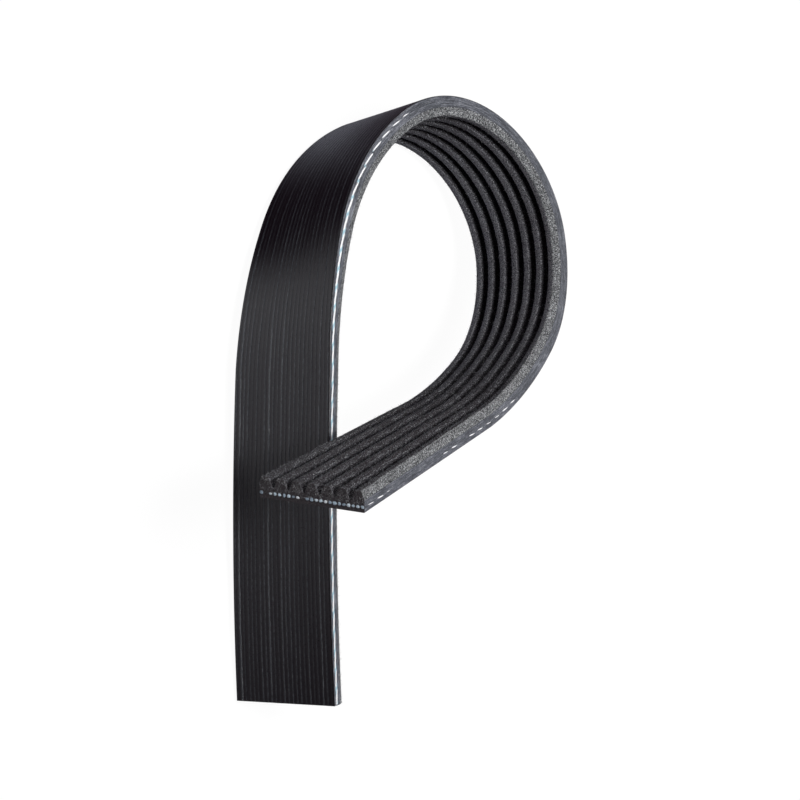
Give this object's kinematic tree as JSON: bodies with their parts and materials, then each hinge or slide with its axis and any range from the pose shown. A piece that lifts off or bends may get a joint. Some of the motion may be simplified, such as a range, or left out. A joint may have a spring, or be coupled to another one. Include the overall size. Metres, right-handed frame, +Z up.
{
  "type": "serpentine belt",
  "caption": "Cut length of multi-rib serpentine belt, curled over on itself, with its tensile cords bared at the cut ends and along the slit edge.",
  "frame": {"origin": "centre of the bounding box in plan, on the surface that the belt lies on", "axes": "+Z up, +X along the straight run from its cut end towards the curl, +Y out of the run's smooth back"},
  "size_m": [0.1296, 0.1082, 0.0651],
  "materials": {
    "rib_rubber": "matt black, with a short fibre flock that greys the rib faces",
    "backing_rubber": "smooth black with fine lengthwise lines and a soft sheen",
    "tensile_cord": "twisted white polyester cord"
  },
  "bodies": {
    "root": {"ribbed_body": "rib_rubber", "backing": "backing_rubber", "tensile_cord_01": "tensile_cord", "tensile_cord_02": "tensile_cord", "tensile_cord_03": "tensile_cord", "tensile_cord_04": "tensile_cord", "tensile_cord_05": "tensile_cord", "tensile_cord_06": "tensile_cord", "tensile_cord_07": "tensile_cord", "tensile_cord_08": "tensile_cord", "tensile_cord_09": "tensile_cord", "tensile_cord_10": "tensile_cord", "tensile_cord_11": "tensile_cord", "tensile_cord_12": "tensile_cord", "tensile_cord_13": "tensile_cord", "tensile_cord_14": "tensile_cord", "tensile_cord_15": "tensile_cord", "tensile_cord_16": "tensile_cord", "tensile_cord_17": "tensile_cord", "tensile_cord_18": "tensile_cord", "tensile_cord_19": "tensile_cord", "tensile_cord_20": "tensile_cord", "tensile_cord_21": "tensile_cord", "tensile_cord_22": "tensile_cord", "tensile_cord_23": "tensile_cord"}
  },
  "joints": []
}
